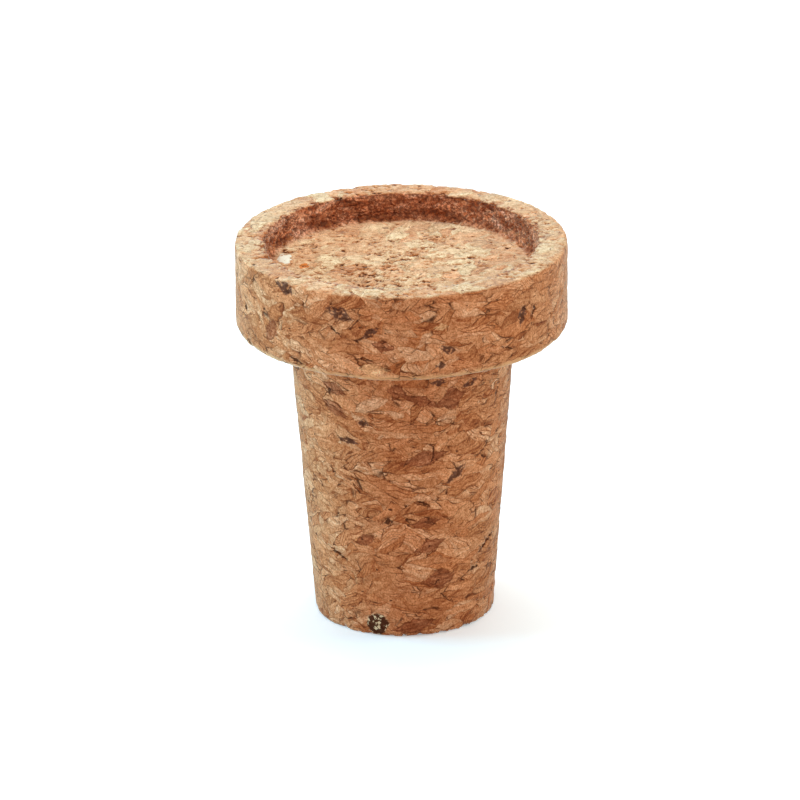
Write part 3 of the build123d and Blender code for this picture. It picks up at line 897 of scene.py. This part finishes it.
class CorkLook(bpy.types.PropertyGroup):
    """Colours of the cork."""

    dark_flake: bpy.props.FloatVectorProperty(
        name="Dark flake", description="The darkest flakes", default=linear("#A45730"), subtype="COLOR"
    )
    red_flake: bpy.props.FloatVectorProperty(
        name="Red flake", description="Red-brown flakes", default=linear("#C97747"), subtype="COLOR"
    )
    brown_flake: bpy.props.FloatVectorProperty(
        name="Brown flake", description="The most common flakes", default=linear("#D58454"), subtype="COLOR"
    )
    tan_flake: bpy.props.FloatVectorProperty(
        name="Tan flake", description="Paler flakes", default=linear("#E39463"), subtype="COLOR"
    )
    pale_flake: bpy.props.FloatVectorProperty(
        name="Pale flake", description="The palest flakes", default=linear("#EFAA7C"), subtype="COLOR"
    )
    grey_tint: bpy.props.FloatVectorProperty(
        name="Grey tint", description="Tint of greyer flakes", default=linear("#F9FFFF"), subtype="COLOR"
    )
    orange_tint: bpy.props.FloatVectorProperty(
        name="Orange tint", description="Tint of orange flakes", default=linear("#FFF9F1"), subtype="COLOR"
    )
    ring_tint: bpy.props.FloatVectorProperty(
        name="Ring tint", description="Tint of the growth rings", default=linear("#B08C72"), subtype="COLOR"
    )
    # Pores, cracks, the cores of bark and the husk's dark, and painted shade in voids and the pits' cores.
    pore_and_hollow_shade_colour: bpy.props.FloatVectorProperty(
        name="Pores", description="Pores and cracks", default=linear("#3C180A"), subtype="COLOR"
    )
    wall_tint: bpy.props.FloatVectorProperty(
        name="Wall tint", description="Tint of the milled wall", default=linear("#F4E7EE"), subtype="COLOR"
    )
    red_mark: bpy.props.FloatVectorProperty(
        name="Red mark", description="Single red-brown flakes", default=linear("#9C4F2C"), subtype="COLOR"
    )
    # Cream flakes, and the painted highlight on the cap's lower edge.
    cream_and_edge_highlight: bpy.props.FloatVectorProperty(
        name="Cream and edge highlight", description="Cream flakes and painted highlight on the cap's lower edge", default=linear("#FFBE84"), subtype="COLOR"
    )
    # Short dark strokes, and the painted shade in the middle of the pits.
    stroke_and_pit_shade_colour: bpy.props.FloatVectorProperty(
        name="Strokes", description="Short dark strokes", default=linear("#6E3216"), subtype="COLOR"
    )
    # Raw cork and painted shade round the pits.
    pit_fringe_colour: bpy.props.FloatVectorProperty(
        name="Pit fringes", description="Raw cork round the pits", default=linear("#BE7442"), subtype="COLOR"
    )
    # Single bits of bark, and the painted shade in the holes between the wall's crumbs.
    bark_and_hole_shade_colour: bpy.props.FloatVectorProperty(
        name="Bark", description="Single bits of bark", default=linear("#653A2A"), subtype="COLOR"
    )
    pale_chip: bpy.props.FloatVectorProperty(
        name="Pale chip", description="Pale chip in the dish", default=linear("#F8ECD8"), subtype="COLOR"
    )
    orange_chip: bpy.props.FloatVectorProperty(
        name="Orange chip", description="Orange chip in the dish", default=linear("#E07E38"), subtype="COLOR"
    )
    # Painted shade near the floor, towards the plug's end.
    foot_shade: bpy.props.FloatVectorProperty(
        name="Foot shade", description="Tint of the plug's end", default=linear("#F7F1EE"), subtype="COLOR"
    )
    # The rim, a little darker than the dish's floor.
    rim_tint: bpy.props.FloatVectorProperty(
        name="Rim tint", description="Tint of the handled rim", default=linear("#F4F8F8"), subtype="COLOR"
    )
    # Faces that look up are paler, partly dusty and partly with a painted sheen: its colour, which the husk's
    # pale grains share, and its share.
    dust_and_sheen_colour: bpy.props.FloatVectorProperty(
        name="Dust and sheen", description="Dust on faces that look up", default=linear("#F2D4A7"), subtype="COLOR"
    )
    dust_and_sheen: bpy.props.FloatProperty(
        name="Bloom share",
        description="How strong the bloom is",
        default=0.5,
        min=0.0,
        max=1.0,
        subtype="FACTOR",
    )


class StudioStage(bpy.types.PropertyGroup):
    """The camera and the studio's light."""

    elevation: bpy.props.FloatProperty(
        name="Elevation", description="How far the camera looks down", default=math.radians(21.35), **ANGLE
    )
    roll: bpy.props.FloatProperty(
        name="Roll", description="How far the camera leans", default=math.radians(-0.55), **ANGLE
    )
    distance: bpy.props.FloatProperty(
        name="Distance", description="From the camera to its target", default=1.0, **LENGTH
    )
    target: bpy.props.FloatVectorProperty(
        name="Target",
        description="Where the camera looks",
        default=(-0.358 * MM, 0.0, 29.891 * MM),
        subtype="XYZ",
        unit="LENGTH",
    )
    lens_mm: bpy.props.FloatProperty(name="Lens", description="Focal length in mm", default=329.9)
    fill: bpy.props.FloatProperty(name="Fill", description="Light from all round", default=0.48)
    top_light: bpy.props.FloatProperty(
        name="Top light", description="Soft light from above", default=2.55, unit="POWER"
    )
    left_light: bpy.props.FloatProperty(
        name="Left light", description="Soft light from the left", default=5.25, unit="POWER"
    )
    right_light: bpy.props.FloatProperty(
        name="Right light", description="Soft light from the right", default=2.2, unit="POWER"
    )
    front_light: bpy.props.FloatProperty(
        name="Front light", description="Low light from a card in front", default=1.22, unit="POWER"
    )


class STOPPER_OT_turn_body(bpy.types.Operator):
    """Turns the cork body and puts it in place of the CAD solid"""

    bl_idname = "stopper.turn_body"
    bl_label = "Turn cork body"

    def execute(self, context):
        sizes = context.scene.stopper_sizes
        inputs = {
            "Cap Radius": sizes.cap_radius,
            "Cap Top": sizes.cap_top,
            "Shoulder": sizes.shoulder,
            "Dish Radius": sizes.dish_radius,
            "Dish Floor": sizes.dish_floor,
            "Plug Top Radius": sizes.plug_top_radius,
            "Plug End Radius": sizes.plug_end_radius,
            "Cap Top Edge": CAP_TOP_EDGE,
            "Cap Lower Edge": CAP_LOWER_EDGE,
            "Dish Mouth": DISH_MOUTH,
            "Dish Cove": DISH_COVE,
            "Plug End Edge": PLUG_END_EDGE,
            "Shoulder Corner": SHOULDER_CORNER,
            "Granule Relief": sizes.granule_relief,
            "Wall Crumble": sizes.wall_crumble,
            "Edge Chips": sizes.edge_chips,
            "Segments": SEGMENTS,
            "Material": agglomerated_cork(context.scene.cork_look),
        }
        tree = turned_body_tree(inputs)
        body = bpy.data.objects.new("turned_body", bpy.data.meshes.new("turned_body"))
        context.scene.collection.objects.link(body)
        modifier = body.modifiers.new("turn", "NODES")
        modifier.node_group = tree
        for item in tree.interface.items_tree:
            if item.in_out == "INPUT" and item.name in inputs:
                modifier[item.identifier] = inputs[item.name]
        evaluated = body.evaluated_get(context.evaluated_depsgraph_get())
        skin = bpy.data.meshes.new_from_object(evaluated)
        body.modifiers.remove(modifier)
        body.data = skin
        if len(skin.polygons) == 0:
            raise RuntimeError("the tree made no skin")
        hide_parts(CAD_NODE)
        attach(body, "root")
        return {"FINISHED"}


class STOPPER_OT_set_stage(bpy.types.Operator):
    """Sets the floor, the lamps, the world and the camera"""

    bl_idname = "stopper.set_stage"
    bl_label = "Set studio stage"

    def execute(self, context):
        scene = context.scene
        stage = scene.studio_stage
        scene.view_settings.view_transform = "Standard"

        world = bpy.data.worlds.new("white studio")
        scene.world = world
        world.use_nodes = True
        tree = world.node_tree
        tree.nodes.clear()
        path = add_node(tree, "ShaderNodeLightPath")
        seen = (path.outputs["Is Camera Ray"], path.outputs["Is Glossy Ray"])
        seen = add_node(tree, "ShaderNodeMath", seen, operation="MAXIMUM")
        seen = (seen, path.outputs["Is Transmission Ray"])
        seen = add_node(tree, "ShaderNodeMath", seen, operation="MAXIMUM")
        warm = [stage.fill * share for share in linear(FILL_TINT)]
        sky = {6: seen, 9: warm, 10: (1.0, 1.0, 1.0)}
        sky = add_node(tree, "ShaderNodeMapRange", sky, data_type="FLOAT_VECTOR")
        sky = add_node(tree, "ShaderNodeBackground", {"Color": sky})
        add_node(tree, "ShaderNodeOutputWorld", (sky,))

        paper = bpy.data.materials.new("matt white paper")
        paper.use_nodes = True
        tree = paper.node_tree
        tree.nodes.clear()
        path = add_node(tree, "ShaderNodeLightPath")
        shade = {"Value": path.outputs["Is Camera Ray"], "To Min": FLOOR_BOUNCE, "To Max": FLOOR_SEEN}
        shade = add_node(tree, "ShaderNodeMapRange", shade)
        matt = add_node(tree, "ShaderNodeBsdfDiffuse", {"Color": shade})
        glow = (path.outputs["Is Camera Ray"], FLOOR_GLOW)
        glow = add_node(tree, "ShaderNodeMath", glow, operation="MULTIPLY")
        glow = add_node(tree, "ShaderNodeEmission", {"Color": (1.0, 1.0, 1.0, 1.0), "Strength": glow})
        sheet = add_node(tree, "ShaderNodeAddShader", (matt, glow))
        add_node(tree, "ShaderNodeOutputMaterial", (sheet,))
        floor_mesh = bpy.data.meshes.new("studio_floor")
        sides = ((-1, -1), (1, -1), (1, 1), (-1, 1))
        corners = [(FLOOR_REACH * x, FLOOR_REACH * y, 0.0) for x, y in sides]
        floor_mesh.from_pydata(corners, [], [(0, 1, 2, 3)])
        floor_mesh.materials.append(paper)
        floor = bpy.data.objects.new("studio_floor", floor_mesh)
        scene.collection.objects.link(floor)

        for name, power, place, width, height, tint in (
            ("top_softbox", stage.top_light, (0.0, 0.14, 0.62), 0.45, 0.4, "#EFFDFF"),
            ("left_softbox", stage.left_light, (-0.55, 0.1, 0.16), 0.36, 0.26, "#98DEFF"),
            ("right_softbox", stage.right_light, (0.57, 0.09, 0.2), 0.36, 0.26, "#C8F1FF"),
            ("front_card", stage.front_light, (0.0, -0.6, 0.13), 0.5, 0.2, "#ECF4FF"),
        ):
            light = bpy.data.lights.new(name, "AREA")
            light.shape = "RECTANGLE"
            light.size = width
            light.size_y = height
            light.energy = power
            light.color = linear(tint)
            lamp = bpy.data.objects.new(name, light)
            lamp.location = place
            lamp.rotation_euler = (LAMP_AIM - Vector(place)).to_track_quat("-Z", "Y").to_euler()
            scene.collection.objects.link(lamp)

        lens = bpy.data.cameras.new("camera")
        lens.lens = stage.lens_mm
        lens.sensor_width = 36.0
        lens.clip_start = 0.05
        lens.clip_end = 20.0
        camera = bpy.data.objects.new("camera", lens)
        away = Vector((0.0, -math.cos(stage.elevation), math.sin(stage.elevation)))
        camera.location = Vector(stage.target) + away * stage.distance
        aim = Euler((math.pi / 2 - stage.elevation, 0.0, 0.0)).to_matrix()
        lean = Euler((0.0, 0.0, stage.roll)).to_matrix()
        camera.rotation_euler = (aim @ lean).to_euler()
        scene.collection.objects.link(camera)
        scene.camera = camera
        return {"FINISHED"}


class VIEW3D_PT_stopper(bpy.types.Panel):
    """Lists the stopper's steps and settings"""

    bl_label = "Turned cork stopper"
    bl_idname = "VIEW3D_PT_stopper"
    bl_space_type = "VIEW_3D"
    bl_region_type = "UI"
    bl_category = "Cork"

    def draw(self, context):
        for group in GROUPS:
            settings = getattr(context.scene, group)
            for name in settings.__annotations__:
                self.layout.prop(settings, name)
        for step in STEPS:
            self.layout.operator(step.bl_idname)


GROUPS = {"stopper_sizes": StopperSizes, "cork_look": CorkLook, "studio_stage": StudioStage}
STEPS = (STOPPER_OT_turn_body, STOPPER_OT_set_stage)


def register():
    for name, group in GROUPS.items():
        bpy.utils.register_class(group)
        setattr(bpy.types.Scene, name, bpy.props.PointerProperty(type=group))
    for step in (*STEPS, VIEW3D_PT_stopper):
        bpy.utils.register_class(step)


def unregister():
    for step in (VIEW3D_PT_stopper, *STEPS):
        bpy.utils.unregister_class(step)
    for name, group in GROUPS.items():
        delattr(bpy.types.Scene, name)
        bpy.utils.unregister_class(group)


def main():
    """Registers the classes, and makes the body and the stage."""
    register()
    bpy.ops.stopper.turn_body()
    bpy.ops.stopper.set_stage()


if __name__ == "__main__":
    main()
